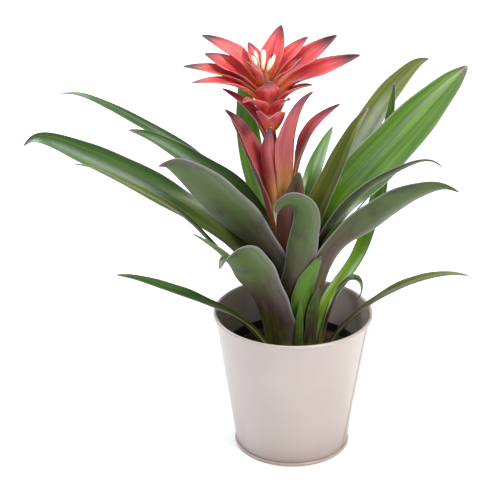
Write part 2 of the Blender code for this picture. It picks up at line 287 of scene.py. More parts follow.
# %% Leaf finishes
def leaf_upper(name, deep, light, foot, seed):
    """Waxy upper face: deep green between paler veins, a warm flush low down, a dry tip."""
    made, tree, shader = new_material(name)
    broad = streaks(tree, 7, 1.0, 1.0, 3, seed)
    fine = streaks(tree, 70, 1.2, 1.0, 4, seed + 3)
    patch = streaks(tree, 1.6, 3.0, 1.0, 2, seed + 6)
    veins = math_node(tree, "ADD", math_node(tree, "MULTIPLY", broad, 0.6),
                      math_node(tree, "MULTIPLY", fine, 0.4))
    body = mix(tree, grey_ramp(tree, veins, 0.40, 0.60), deep, light)
    shaded = mix(tree, grey_ramp(tree, patch, 0.45, 0.7, 0.0, 0.55), body,
                 tuple(part * 0.55 for part in deep))
    share = blade_share(tree)
    warm = mix(tree, grey_ramp(tree, share, 0.15, 0.55, 0.9, 0.0), shaded, foot)
    edge = mix(tree, math_node(tree, "MULTIPLY", margins(tree, 0.05), 0.5), warm,
               (0.20, 0.26, 0.10))
    tip = mix(tree, grey_ramp(tree, share, 0.955, 0.985), edge, (0.11, 0.07, 0.05))
    tree.links.new(tip, shader.inputs["Base Color"])
    tree.links.new(grey_ramp(tree, veins, 0.38, 0.62, 0.28, 0.46), shader.inputs["Roughness"])
    emboss(tree, shader, veins, 0.45, 0.6 * MM)
    shader.inputs["Coat Weight"].default_value = 0.22
    shader.inputs["Coat Roughness"].default_value = 0.28
    shader.inputs["Coat Tint"].default_value = (0.85, 0.95, 1.0, 1.0)
    return made


def leaf_lower(name, green, purple, foot, pale, seed):
    """Matt lower face: yellow green foot, brown purple heart, grey green tip, lilac scurf,
    and a painted sheen that lightens one half.
    """
    made, tree, shader = new_material(name)
    uv = node(tree, "ShaderNodeTexCoord").outputs["UV"]
    across = node(tree, "ShaderNodeSeparateXYZ", {0: uv}).outputs["Y"]
    broad = streaks(tree, 4, 1.6, 1.0, 3, seed)
    fine = streaks(tree, 90, 1.4, 1.0, 5, seed + 5)
    patch = streaks(tree, 1.2, 5.0, 1.0, 3, seed + 9)
    share = blade_share(tree)
    wander = math_node(tree, "ADD", share, math_node(tree, "MULTIPLY",
                                                     math_node(tree, "SUBTRACT", broad, 0.5), 0.9))
    heart = mix(tree, grey_ramp(tree, wander, 0.36, 0.66), purple, green)
    low = mix(tree, grey_ramp(tree, wander, 0.06, 0.30), foot, heart)
    dark = mix(tree, grey_ramp(tree, patch, 0.48, 0.64, 0.0, 0.62), low,
               tuple(part * 0.42 for part in purple))
    # Painted sheen: one half of the lower face, towards one margin, is lightened in the pale
    # colour.
    sheen_half = math_node(tree, "MULTIPLY", grey_ramp(tree, across, 0.60, 0.97),
                         grey_ramp(tree, broad, 0.35, 0.6))
    painted_sheen = mix(tree, math_node(tree, "MULTIPLY", sheen_half, 0.42), dark, pale)
    toned = mix(tree, grey_ramp(tree, fine, 0.50, 0.72, 0.0, 0.20), painted_sheen, pale)
    edge = mix(tree, math_node(tree, "MULTIPLY", margins(tree, 0.06), 0.5), toned, pale)
    tip = mix(tree, grey_ramp(tree, share, 0.955, 0.985), edge, (0.10, 0.07, 0.05))
    tree.links.new(tip, shader.inputs["Base Color"])
    tree.links.new(grey_ramp(tree, fine, 0.3, 0.7, 0.36, 0.56), shader.inputs["Roughness"])
    emboss(tree, shader, fine, 0.45, 0.6 * MM)
    return made


def leaf_margin(name, colour, seed):
    """The thin dry edge of a leaf or bract."""
    made, tree, shader = new_material(name)
    fine = streaks(tree, 8, 40, 1.0, 3, seed)
    body = mix(tree, fine, tuple(part * 0.7 for part in colour), colour)
    tree.links.new(body, shader.inputs["Base Color"])
    tree.links.new(grey_ramp(tree, fine, 0.3, 0.7, 0.45, 0.65), shader.inputs["Roughness"])
    return made


UPPER = {
    "deep": leaf_upper("leaf_green_deep", (0.016, 0.050, 0.004), (0.070, 0.145, 0.012),
                       (0.12, 0.12, 0.010), 1),
    "fresh": leaf_upper("leaf_green_fresh", (0.038, 0.105, 0.004), (0.130, 0.255, 0.012),
                        (0.19, 0.30, 0.010), 4),
    "olive": leaf_upper("leaf_green_olive", (0.050, 0.068, 0.007), (0.150, 0.175, 0.018),
                        (0.13, 0.070, 0.020), 7),
}
LOWER = {
    "purple": leaf_lower("leaf_back_purple", (0.058, 0.098, 0.016), (0.068, 0.034, 0.026),
                         (0.170, 0.190, 0.022), (0.26, 0.25, 0.27), 2),
    "green": leaf_lower("leaf_back_green", (0.075, 0.165, 0.012), (0.080, 0.100, 0.016),
                        (0.180, 0.260, 0.022), (0.22, 0.30, 0.14), 5),
}
MARGIN = leaf_margin("leaf_margin", (0.26, 0.23, 0.26), 9)
print("leaf finishes:", len(UPPER) + len(LOWER) + 1)

# %% [markdown]
# ## Pot
# The pot is sheet metal: a tapered wall with a folded lock seam down one side and its top edge
# rolled outwards over a wire, and a base disc crimped on in a proud ring. A metal worker rolls
# and folds rings, so here too a ring is drawn up step by step: one circle, extruded and resized
# for each corner of the section. A lathe-like Screw would be as good, but rings leave whole
# columns of faces to pick for the seam.

# %% Draw a ring up
ROUND = 120


def rings(name, profile, closed=True, steps=ROUND):
    """A circle drawn through each (radius, height) corner, in metres, then joined or capped."""
    bpy.ops.object.select_all(action="DESELECT")
    bpy.ops.mesh.primitive_circle_add(vertices=steps, radius=profile[0][0])
    piece = bpy.context.object
    piece.name = name
    bpy.ops.object.mode_set(mode="EDIT")
    bpy.ops.mesh.select_all(action="SELECT")
    bpy.ops.transform.translate(value=(0, 0, profile[0][1]))
    if not closed:
        bpy.ops.mesh.edge_face_add()
    corners = list(profile) + (list(profile[:1]) if closed else [])
    for (radius, height), (next_radius, next_height) in zip(corners, corners[1:]):
        pick(piece, lambda place: False)
        cage = bmesh.from_edit_mesh(piece.data)
        for vert in list(cage.verts)[-steps:]:
            vert.select = True
        cage.select_flush(True)
        bmesh.update_edit_mesh(piece.data)
        bpy.ops.mesh.extrude_edges_move(
            TRANSFORM_OT_translate={"value": (0, 0, next_height - height)})
        share = next_radius / radius
        bpy.ops.transform.resize(value=(share, share, 1), center_override=(0, 0, 0))
    if closed:
        bpy.ops.mesh.select_all(action="SELECT")
        bpy.ops.mesh.remove_doubles(threshold=0.00002)
    else:
        bpy.ops.mesh.edge_face_add()
    bpy.ops.mesh.select_all(action="SELECT")
    bpy.ops.mesh.normals_make_consistent(inside=False)
    return piece


# %% [markdown]
# ## Pot paint
# The pot is sprayed a warm pale grey, satin and a little uneven, and darker towards its foot. A
# flat colour would look like plastic, so soft noise varies tone and gloss, and a fine bump gives
# the slight orange peel of sprayed paint.


# %% Pot paint
def paint():
    """Warm pale grey paint on metal: satin, a little uneven, darker low down."""
    made, tree, shader = new_material("pot_paint")
    place = node(tree, "ShaderNodeTexCoord").outputs["Object"]
    cloud = clouds(tree, 22.0, 4.0)
    height = node(tree, "ShaderNodeSeparateXYZ", {0: place}).outputs["Z"]
    body = mix(tree, grey_ramp(tree, cloud, 0.3, 0.7), (0.420, 0.358, 0.338),
               (0.445, 0.382, 0.362))
    # Darker towards the foot: the colour darkens over the lowest few centimetres of the pot.
    raised = math_node(tree, "MULTIPLY", height, 18.0)
    toned = mix(tree, math_node(tree, "SUBTRACT", 0.5, raised, clamp=True), body,
               (0.34, 0.27, 0.25))
    tree.links.new(toned, shader.inputs["Base Color"])
    tree.links.new(grey_ramp(tree, cloud, 0.3, 0.7, 0.30, 0.42), shader.inputs["Roughness"])
    emboss(tree, shader, clouds(tree, 900.0, 2.0), 0.12, 0.3 * MM)
    shader.inputs["Coat Weight"].default_value = 0.15
    return made


PAINT = paint()
print("pot paint made")

# %% Pot wall and base
POT_HEIGHT = 128 * MM
RIM_RADIUS = 70 * MM
RIM_BEAD = 1.6 * MM
WALL_TOP_RADIUS = 67.5 * MM
WALL_FOOT_RADIUS = 49.8 * MM
SHEET = 0.8 * MM
FOOT_RING_RADIUS = 51.2 * MM
FOOT_RING_HEIGHT = 3 * MM
GAP = 0.3 * MM
SEAM_DIRECTION = math.radians(-22.5)
SEAM_HALF_WIDTH = math.radians(1.5)
SEAM_PROUD = 0.5 * MM
BEAD_TURNS = range(-75, 166, 20)     # degrees round the wire where the rolled edge has a corner
EDGE_ROUNDING = 0.12 * MM
CRIMP = 0.8 * MM                     # how far the base's corners are turned in


def wall_radius(height):
    """Outside radius of the tapered wall at a height."""
    share = (height - FOOT_RING_HEIGHT) / (POT_HEIGHT - FOOT_RING_HEIGHT)
    return WALL_FOOT_RADIUS + (WALL_TOP_RADIUS - WALL_FOOT_RADIUS) * share


def pot_wall():
    """The tapered wall with its rolled top edge, and its lock seam standing a little proud."""
    wire = (RIM_RADIUS - RIM_BEAD, POT_HEIGHT - RIM_BEAD)
    bead = [(wire[0] + RIM_BEAD * math.cos(math.radians(turn)),
             wire[1] + RIM_BEAD * math.sin(math.radians(turn))) for turn in BEAD_TURNS]
    inner_top = POT_HEIGHT - 2 * RIM_BEAD
    foot = FOOT_RING_HEIGHT + GAP
    piece = rings("pot_wall_skin", bead + [(wall_radius(inner_top) - SHEET, inner_top),
                                           (wall_radius(foot) - SHEET, foot),
                                           (wall_radius(foot), foot)])
    outward = Vector((math.cos(SEAM_DIRECTION), math.sin(SEAM_DIRECTION), 0))
    pick_faces(piece, lambda middle, normal: normal.dot(outward) > 0.9 and middle.z < inner_top
               and middle.z > 2 * foot
               and abs(math.atan2(middle.y, middle.x) - SEAM_DIRECTION) < SEAM_HALF_WIDTH)
    bpy.ops.mesh.extrude_region_move(
        TRANSFORM_OT_translate={"value": tuple(outward * SEAM_PROUD)})
    bpy.ops.object.mode_set(mode="OBJECT")
    edge = piece.modifiers.new("soft_edges", "BEVEL")
    edge.width, edge.segments, edge.limit_method = EDGE_ROUNDING, 2, "ANGLE"
    apply_all(piece)
    return piece


def pot_base():
    """The base disc, turned up inside the wall and crimped round it in a proud ring."""
    inner = WALL_FOOT_RADIUS - SHEET - CRIMP
    outer = FOOT_RING_RADIUS
    piece = rings("pot_base_skin", [(inner * 0.5, SHEET), (inner, SHEET), (inner, FOOT_RING_HEIGHT),
                                    (outer - CRIMP, FOOT_RING_HEIGHT),
                                    (outer, FOOT_RING_HEIGHT - CRIMP), (outer, CRIMP),
                                    (outer - CRIMP, 0), (inner * 0.5, 0)], closed=False)
    bpy.ops.object.mode_set(mode="OBJECT")
    return piece


def finish_shell(piece, finish, slot, node_name):
    """Smooths a ring-shaped piece but for its corners, and gives it its finish and its place."""
    alone(piece)
    bpy.ops.object.shade_smooth_by_angle(angle=math.radians(35))
    piece.data.materials.append(finish)
    belongs(piece, slot, node_name)


finish_shell(pot_wall(), PAINT, "pot_paint", "pot_wall")
finish_shell(pot_base(), PAINT, "pot_paint", "pot_base")
print("pot: wall and base")

# %% [markdown]
# ## Nursery pot
# The plant still sits in the thin black pot it was raised in, dropped into the metal one. The real
# one is moulded. Here it is one more drawn ring, with a step under its rim and a hole in its
# floor.

# %% Nursery pot
NURSERY_TOP_RADIUS = 60 * MM
NURSERY_FOOT_RADIUS = 43 * MM
NURSERY_TOP = 92 * MM
NURSERY_WALL = 1 * MM
NURSERY_FLOOR = 1.2 * MM
NURSERY_RIM_DEPTH = 6 * MM
NURSERY_RIM_STEP = 1.6 * MM
DRAIN_RADIUS = 6 * MM
SOIL_TOP = 88 * MM


def plastic():
    """Matt black moulded plastic with a little dried mud."""
    made, tree, shader = new_material("black_plastic")
    cloud = clouds(tree, 60.0, 4.0)
    body = mix(tree, grey_ramp(tree, cloud, 0.45, 0.7), (0.012, 0.012, 0.013),
               (0.05, 0.045, 0.04))
    tree.links.new(body, shader.inputs["Base Color"])
    tree.links.new(grey_ramp(tree, cloud, 0.3, 0.7, 0.38, 0.6), shader.inputs["Roughness"])
    return made


def nursery_pot():
    """A thin tapered pot with a thicker rim and one hole in its floor."""
    foot = SHEET + GAP
    return rings("nursery_pot_skin", [
        (NURSERY_TOP_RADIUS - NURSERY_WALL, NURSERY_TOP), (NURSERY_TOP_RADIUS, NURSERY_TOP),
        (NURSERY_TOP_RADIUS, NURSERY_TOP - NURSERY_RIM_DEPTH),
        (NURSERY_TOP_RADIUS - NURSERY_RIM_STEP, NURSERY_TOP - NURSERY_RIM_DEPTH),
        (NURSERY_FOOT_RADIUS, foot), (DRAIN_RADIUS, foot), (DRAIN_RADIUS, foot + NURSERY_FLOOR),
        (NURSERY_FOOT_RADIUS - NURSERY_WALL, foot + NURSERY_FLOOR),
        (NURSERY_TOP_RADIUS - NURSERY_RIM_STEP - NURSERY_WALL, NURSERY_TOP - NURSERY_RIM_DEPTH)],
        steps=72)


held = nursery_pot()
bpy.ops.object.mode_set(mode="OBJECT")
finish_shell(held, plastic(), "black_plastic", "nursery_pot")
print("nursery pot: in place")


# %% [markdown]
# ## Potting mix
# Mix is loose bits of bark and peat. Each crumb could be placed by hand, but there are hundreds,
# so three broken bits, dark, wet and pale, are modelled and strewn over a rough bed by a seeded
# draw. The bits are joined to the bed, since the frame has the mix as one piece.


# %% Potting mix
def humus(name, dark, light, rough):
    """Rough bark or peat between a dark and a light tone."""
    made, tree, shader = new_material(name)
    cloud = clouds(tree, 260.0, 6.0)
    tree.links.new(mix(tree, grey_ramp(tree, cloud, 0.38, 0.66), dark, light),
                   shader.inputs["Base Color"])
    tree.links.new(grey_ramp(tree, cloud, 0.3, 0.7, rough - 0.15, rough),
                   shader.inputs["Roughness"])
    emboss(tree, shader, cloud, 0.7, 0.8 * MM)
    return made


BARK = humus("bark", (0.018, 0.012, 0.009), (0.075, 0.048, 0.032), 0.9)
WET_BARK = humus("wet_bark", (0.008, 0.007, 0.007), (0.03, 0.024, 0.02), 0.4)
PALE_BIT = humus("pale_bit", (0.40, 0.36, 0.30), (0.70, 0.66, 0.60), 0.6)
CRUMBS = 420
STREWN_TO = 54 * MM        # how far out the crumbs lie
LEVEL_TO = 38 * MM         # how far out the bed is level
TURN_OF_KINDS = 12         # out of so many crumbs, 7 are dark, 4 wet and 1 pale
BED_SKIN = 2.5 * MM        # depth of the part of the bed that is roughened


def mix_bed():
    """The bed of mix, filling the nursery pot, with a rough top that falls towards the rim."""
    foot = SHEET + GAP + NURSERY_FLOOR + GAP
    edge = NURSERY_TOP_RADIUS - 4.5 * MM
    piece = rings("potting_mix_bed", [
        (NURSERY_FOOT_RADIUS - NURSERY_WALL - 1.4 * MM, foot), (edge, SOIL_TOP - 6 * MM),
        (edge, SOIL_TOP - 2 * MM), (46 * MM, SOIL_TOP - 1 * MM), (LEVEL_TO, SOIL_TOP),
        (30 * MM, SOIL_TOP), (22 * MM, SOIL_TOP), (14 * MM, SOIL_TOP)], closed=False, steps=72)
    pick(piece, lambda place: place.z > SOIL_TOP - BED_SKIN)
    bpy.ops.mesh.subdivide(number_cuts=1)
    pick(piece, lambda place: place.z > SOIL_TOP - BED_SKIN
         and math.hypot(place.x, place.y) < edge * 0.99)
    bpy.ops.transform.vertex_random(offset=0.9 * MM, seed=5)
    bpy.ops.object.mode_set(mode="OBJECT")
    return piece


def crumb(seed, finish):
    """One broken bit of bark, at the origin."""
    bpy.ops.object.select_all(action="DESELECT")
    bpy.ops.mesh.primitive_ico_sphere_add(subdivisions=1, radius=1)
    piece = bpy.context.object
    bpy.ops.object.mode_set(mode="EDIT")
    bpy.ops.mesh.select_all(action="SELECT")
    bpy.ops.transform.vertex_random(offset=0.35, seed=seed)
    bpy.ops.transform.resize(value=(1.0, 0.7, 0.45), center_override=(0, 0, 0))
    bpy.ops.object.mode_set(mode="OBJECT")
    piece.data.materials.append(finish)
    return piece


bed = mix_bed()
bed.data.materials.append(BARK)
chance = random.Random(7)
models = [crumb(3, BARK), crumb(8, WET_BARK), crumb(12, PALE_BIT)]
scattered = []
for count in range(CRUMBS):
    kind = count % TURN_OF_KINDS
    model = models[0] if kind < 7 else models[1] if kind < 11 else models[2]
    out = STREWN_TO * math.sqrt(0.12 + 0.88 * chance.random())
    way = chance.uniform(0, math.tau)
    size = chance.uniform(0.8, 2.3) * MM * (0.6 if model is models[2] else 1.0)
    bit = model.copy()
    bit.data = model.data.copy()
    bpy.context.collection.objects.link(bit)
    bit.location = (out * math.cos(way), out * math.sin(way),
                    SOIL_TOP + size * 0.15 - max(out - LEVEL_TO, 0) * 0.11)
    bit.rotation_euler = (chance.uniform(-0.5, 0.5), chance.uniform(-0.5, 0.5),
                          chance.uniform(0, math.tau))
    bit.scale = (size, size, size)
    scattered.append(bit)
bpy.ops.object.select_all(action="DESELECT")
for bit in scattered:
    bit.select_set(True)
bed.select_set(True)
bpy.context.view_layer.objects.active = bed
bpy.ops.object.join()
for model in models:
    bpy.data.objects.remove(model, do_unlink=True)
belongs(bed, "potting_mix", "potting_mix")
print("mix:", CRUMBS, "crumbs,", len(bed.data.polygons), "faces")

# %% [markdown]
# ## Leaves
# Each leaf starts as a flat grid, one strip of cloth as it were. Its columns are lifted into a
# shallow channel, its rows are narrowed towards foot and tip, and a Curve modifier lays it along
# its midrib. Solidify then gives it two faces and a margin, each with its own finish, and a
# Subdivision Surface makes it smooth. Sculpting could do it too, but rows and columns keep the
# veins straight and every leaf editable by its route.

# %% Leaf blanks
LEAF_ROWS = 22
LEAF_COLUMNS = 6
RIPPLE = 0.22              # how much a blade's channel deepens and flattens along its length
RIPPLE_WAVES = 23          # how closely those ripples follow one another
RIPPLE_SWELLS = 9          # how closely they rise and die away again
RIPPLE_IN_WIDTH = 0.3      # share of the ripple that shows in the outline too
SHEATH_ARC = 0.95          # half angle, in radians, that a leaf's foot wraps round the plant
SHEATH_FLARE = 0.25        # share of its width that a leaf gains where its sheath is broadest
FLARED = range(17, 32)     # widths, in millimetres, of the leaves whose sheaths flare


def smooth(share):
    """Goes from 0 to 1 with a soft start and a soft end."""
    held = min(max(share, 0.0), 1.0)
    return held * held * (3 - 2 * held)


def blank(name, rows, columns):
    """A flat strip with U along it: x from 0 to 1, y from -1 to 1."""
    bpy.ops.object.select_all(action="DESELECT")
    bpy.ops.mesh.primitive_grid_add(x_subdivisions=rows, y_subdivisions=columns, size=1)
    piece = bpy.context.object
    piece.name = name
    bpy.ops.object.mode_set(mode="EDIT")
    bpy.ops.mesh.select_all(action="SELECT")
    bpy.ops.transform.translate(value=(0.5, 0, 0))
    bpy.ops.transform.resize(value=(1, 2, 1), center_override=(0, 0, 0))
    return piece


def channel(piece, columns, angle):
    """Lifts the columns of a strip, so that its section is an arc of this half angle."""
    for step in range(columns // 2):
        outward = 1 - 2 * step / columns
        height = (1 - math.cos(outward * angle)) / math.sin(angle)
        reach = math.sin(outward * angle) / math.sin(angle)
        pick(piece, lambda place: abs(abs(place.y) - outward) < 0.01)
        bpy.ops.transform.resize(value=(1, reach / outward, 1), center_override=(0, 0, 0))
        bpy.ops.transform.translate(value=(0, 0, height))


def taper(piece, rows, half_width, depth):
    """Gives each row of a strip its half width and the depth of its channel."""
    for row in range(rows + 1):
        share = row / rows
        pick(piece, lambda place: abs(place.x - share) < 0.2 / rows)
        half = half_width(share)
        swell = (1 + RIPPLE * math.sin(share * RIPPLE_WAVES + rows)
                 * math.sin(share * RIPPLE_SWELLS))
        bpy.ops.transform.resize(
            value=(1, half * (1 + (swell - 1) * RIPPLE_IN_WIDTH), half * depth(share) * swell),
            center_override=(share, 0, 0))


def facing(route, heading):
    """How far a strip's foot turns about its route to stand square to its own heading."""
    ahead = (route[1] - route[0]).normalized()
    lean = Vector((0, 0, 1)).cross(ahead).normalized()
    square = Vector((-math.sin(heading), math.cos(heading), 0))
    square = (square - ahead * square.dot(ahead)).normalized()
    return math.atan2(lean.cross(square).dot(ahead), lean.dot(square))


def lay_along(piece, route, heading, roll, roll_from=0.3, roll_over=0.3):
    """Lays a strip along a route, rolled about it by roll degrees from a share of its length on."""
    square = facing(route, math.radians(heading))
    length = sum((end - start).length for start, end in zip(route, route[1:]))
    bpy.ops.mesh.select_all(action="SELECT")
    bpy.ops.transform.resize(value=(length, 1, 1), center_override=(0, 0, 0))
    bpy.ops.object.mode_set(mode="OBJECT")
    bpy.ops.object.transform_apply(location=True, rotation=True, scale=True)
    bpy.ops.curve.primitive_bezier_curve_add(radius=1)
    midrib = bpy.context.object
    midrib.data.twist_mode = "MINIMUM"
    midrib.data.resolution_u = 16
    midrib.data.use_stretch = True
    midrib.data.use_deform_bounds = True
    knots = midrib.data.splines[0].bezier_points
    knots.add(len(route) - len(knots))
    run = 0.0
    for index, (knot, place) in enumerate(zip(knots, route)):
        run += (place - route[index - 1]).length if index else 0.0
        knot.co = place
        knot.handle_left_type = knot.handle_right_type = "AUTO"
        knot.tilt = square + math.radians(roll) * smooth((run / length - roll_from) / roll_over)
    bend = piece.modifiers.new("midrib", "CURVE")
    bend.object = midrib
    apply_all(piece)
    bpy.data.objects.remove(midrib, do_unlink=True)
    return length


def skin(piece, thickness, faces, smoothing):
    """Gives a laid strip its thickness and its two faces and margin, then smooths it."""
    for finish in faces:
        piece.data.materials.append(finish)
    wall = piece.modifiers.new("tissue", "SOLIDIFY")
    wall.thickness = thickness
    wall.offset = 0.0
    wall.material_offset = 1
    wall.material_offset_rim = 2
    soft = piece.modifiers.new("soft", "SUBSURF")
    soft.levels = soft.render_levels = smoothing
    apply_all(piece)
    bpy.ops.object.shade_smooth()


print("leaf blanks:", LEAF_ROWS, "rows by", LEAF_COLUMNS, "columns")

# %% [markdown]
# The table gives each leaf its compass direction, width, roll, colours and midrib, in
# millimetres, from the heart of the rosette outwards. The midribs are those of the frame.

# %% Leaf table
BASE = 88.5                # height of the leaves' feet, in millimetres, just above the mix
LEAVES = {
    "leaf_right_upper_narrow": (30, 22, 20, "olive", "purple", [
        (6.3, BASE), (9, 130), (14, 175), (25, 223), (37, 246), (47, 266), (60, 290), (72, 303)]),
    "leaf_left_upper_short": (160, 22, -30, "deep", "green", [
        (7, BASE), (9.6, 130), (17, 180), (41, 220), (64, 240), (88, 251), (112, 263), (138, 273),
        (155, 275)]),
    "leaf_front_column": (270, 26, 0, "fresh", "purple", [
        (11.6, 0, BASE), (17, 1, 125), (26, 3, 164), (30, 6, 189), (33, 9, 214), (35, 11, 230),
        (37, 7, 243), (38, -3, 248), (39, -11, 246), (39, -15, 235)]),
    "leaf_back_right_upper": (70, 17, 10, "fresh", "green", [
        (8.6, BASE), (12.2, 130), (17, 175), (25, 207), (40, 233), (69, 254), (98, 266)]),
    "leaf_front_left_broad": (208, 40, 50, "deep", "purple", [
        (10, BASE), (12, 130), (17, 166), (37, 200), (58, 227), (81, 254), (101, 275), (119, 286),
        (125, 284)]),
    "leaf_right_folded": (350, 20, -30, "olive", "purple", [
        (10.4, BASE), (13.8, 130), (18, 165), (24, 195), (39, 219), (57, 242), (81, 261),
        (102, 274), (114, 278), (125, 271)]),
    "leaf_back_tall": (120, 26, 0, "fresh", "green", [
        (15.3, BASE), (20, 130), (29, 170), (45, 202), (63, 222), (80, 247), (88, 272), (91, 300),
        (92, 333)]),
    "leaf_right_broad": (32, 40, 48, "fresh", "green", [
        (13.5, BASE), (17, 130), (22, 165), (30.5, 198), (43, 220), (68, 239), (98, 262),
        (131, 288), (158, 309), (178, 323)]),
    "leaf_left_upper_long": (148, 13, -20, "deep", "green", [
        (16.8, BASE), (22.5, 130), (36, 170), (61, 213), (95, 245), (131, 260), (169, 271),
        (205, 280), (235, 284), (255, 280)]),
    "leaf_right_strip": (354, 8, -20, "olive", "purple", [
        (15.7, BASE), (19.7, 130), (24.6, 160), (32, 186), (48, 217), (64, 240)]),
    "leaf_right_front": (332, 31, -45, "deep", "purple", [
        (18, BASE), (22.5, 130), (30.5, 167), (42, 196), (63, 218), (89, 243), (113, 261),
        (136, 271), (150, 269)]),
    "leaf_left_long": (166, 27, -38, "deep", "green", [
        (18, BASE), (25, 130), (37, 160), (54, 183), (81, 204), (116, 224), (150, 240), (194, 256),
        (228, 266), (239, 265), (247, 256)]),
    "leaf_right_olive": (58, 24, 20, "olive", "green", [
        (18.8, BASE), (25.7, 130), (39, 170), (58, 208), (79, 232), (107, 253), (141, 274),
        (181, 290), (217, 298), (237, 296)]),
    "leaf_left_short": (207, 17, 20, "fresh", "green", [
        (20.5, BASE), (28.5, 130), (36.5, 150), (47, 165), (66, 192), (82, 208), (95, 219)]),
    "leaf_front_pointed": (288, 20, 0, "fresh", "green", [
        (19, 0, BASE), (25, 0, 125), (29, 0, 152), (31, 2, 166), (33, 7, 180), (35, 13, 193)]),
    "leaf_back_upper": (92, 22, 0, "deep", "green", [
        (21, BASE), (29.5, 130), (45, 165), (70, 190), (100, 205), (130, 208), (150, 200)]),
    "leaf_left_under": (183, 12, 0, "olive", "purple", [
        (21.5, BASE), (31, 133), (45, 158), (62, 181), (99, 222), (142, 249), (168, 263),
        (188, 267)]),
    "leaf_back_low_left": (128, 18, 0, "deep", "green", [
        (23, BASE), (34, 120), (52, 140), (76, 158), (105, 170), (135, 170), (155, 160)]),
    "leaf_front_strap": (281, 8, 0, "fresh", "green", [
        (27.5, BASE), (29, 111), (30.5, 131), (32.5, 152)]),
    "leaf_right_strap": (337, 6, 0, "fresh", "green", [
        (22, BASE), (26, 110), (30, 130), (34, 144)]),
    "leaf_front_left_turned": (238, 35, 35, "deep", "purple", [
        (24, BASE), (28, 115), (38, 147), (57, 179), (77, 205), (88, 214), (101, 216), (112, 210)]),
    "leaf_front_dark": (306, 14, 0, "deep", "purple", [
        (25, BASE), (28, 108), (30, 131), (33, 150), (36, 163)]),
    "leaf_right_low_narrow": (48, 15, 20, "fresh", "green", [
        (25.5, BASE), (37, 106), (52, 122), (70, 136), (90, 153), (104, 180), (115, 206),
        (121, 250), (128, 284), (131, 306)]),
    "leaf_right_curled": (348, 14, 0, "deep", "purple", [
        (26, BASE), (30, 115), (36, 140), (45, 158), (55, 165), (60, 156), (57, 144)]),
    "leaf_left_low": (188, 16, -20, "deep", "green", [
        (20, 24, BASE + 2), (31, 17, 108), (48, 8, 124), (72, 3, 138), (97, 0, 149), (120, 0, 159),
        (140, 0, 167), (154, 0, 170)]),
    "leaf_right_low": (352, 11, 20, "olive", "green", [
        (31, BASE), (37, 103), (50, 121), (67, 139), (89, 156), (113, 168), (138, 174),
        (151, 173)]),
}


# %% [markdown]
# ## Growing the leaves
# A leaf clasps the plant with a broad sheath, swells, and narrows to a short point. The width of
# each row follows that outline. A leaf near the heart has less room, so its foot is no wider than
# the circle it grows on allows. Some roll over along their length, which shows their lower face.


# %% Grow the leaves
SHEATH_END = 0.25          # share of a leaf's length over which its foot widens to its full width
FLARE_AT = 0.18            # share of its length where a flaring sheath is broadest
LEAF_THICKNESS = 0.8 * MM


def leaf(name, heading, width, roll, upper, lower, points):
    """One strap leaf, from its blank to its skin."""
    turn = Matrix.Rotation(math.radians(heading), 3, "Z")
    route = [turn @ Vector(point if len(point) == 3 else (point[0], 0, point[1])) * MM
             for point in points]
    half = width * MM / 2
    foot_radius = math.hypot(route[0].x, route[0].y)
    foot_half = min(half, foot_radius * SHEATH_ARC)

    def half_width(share):
        """Narrow at the foot, soon full, blunter at the tip the broader the leaf."""
        grown = foot_half + (half - foot_half) * smooth(share / SHEATH_END)
        if width in FLARED:
            grown *= 1 + SHEATH_FLARE * (share / FLARE_AT * math.exp(1 - share / FLARE_AT)) ** 2
        return grown * max((1 - share ** (3.4 + width / 10)) ** 0.75, 0.05)

    def depth(share):
        """A deep channel at the foot, a shallower one from the middle on."""
        return 1.25 - 0.45 * smooth(share / 0.5)

    piece = blank(name + "_blade", LEAF_ROWS, LEAF_COLUMNS)
    channel(piece, LEAF_COLUMNS, 0.8)
    taper(piece, LEAF_ROWS, half_width, depth)
    length = lay_along(piece, route, heading, roll)
    skin(piece, LEAF_THICKNESS, (UPPER[upper], LOWER[lower], MARGIN), 2)
    belongs(piece, "leaf_tissue", name)
    return piece, length


leaves = [leaf(name, *facts) for name, facts in LEAVES.items()]
print("leaves:", len(leaves), "longest", round(max(length for _, length in leaves), 3), "m")

# %% [markdown]
# ## Flower stem and bracts
# The stem is hidden by bracts, leaves turned to colour. Low on it they are maroon and hug it,
# higher up they are coral red, cupped, and stand out on all sides. They are grown like the
# leaves, from a shorter blank with a pointed outline and a deeper cup.


# %% Bract finish
def bract_finish(name, foot, body, deep, tip, seed, tip_from=0.72):
    """Satin bract: warm at the foot, red in the middle, dull at the tip, with whitish veins."""
    made, tree, shader = new_material(name)
    share = blade_share(tree)
    broad = streaks(tree, 5, 1.5, 1.0, 3, seed)
    fine = streaks(tree, 34, 2.0, 1.0, 4, seed + 2)
    red = mix(tree, grey_ramp(tree, broad, 0.36, 0.64), deep, body)
    warm = mix(tree, grey_ramp(tree, share, 0.05, 0.42, 1.0, 0.0), red, foot)
    veined = mix(tree, grey_ramp(tree, fine, 0.56, 0.74, 0.0, 0.35), warm, (0.86, 0.56, 0.50))
    dull = mix(tree, grey_ramp(tree, share, tip_from, tip_from + 0.21), veined, tip)
    tree.links.new(dull, shader.inputs["Base Color"])
    tree.links.new(grey_ramp(tree, fine, 0.3, 0.7, 0.34, 0.52), shader.inputs["Roughness"])
    emboss(tree, shader, fine, 0.3, 0.3 * MM)
    shader.inputs["Subsurface Weight"].default_value = 0.08
    shader.inputs["Subsurface Radius"].default_value = (0.004, 0.0015, 0.001)
    return made


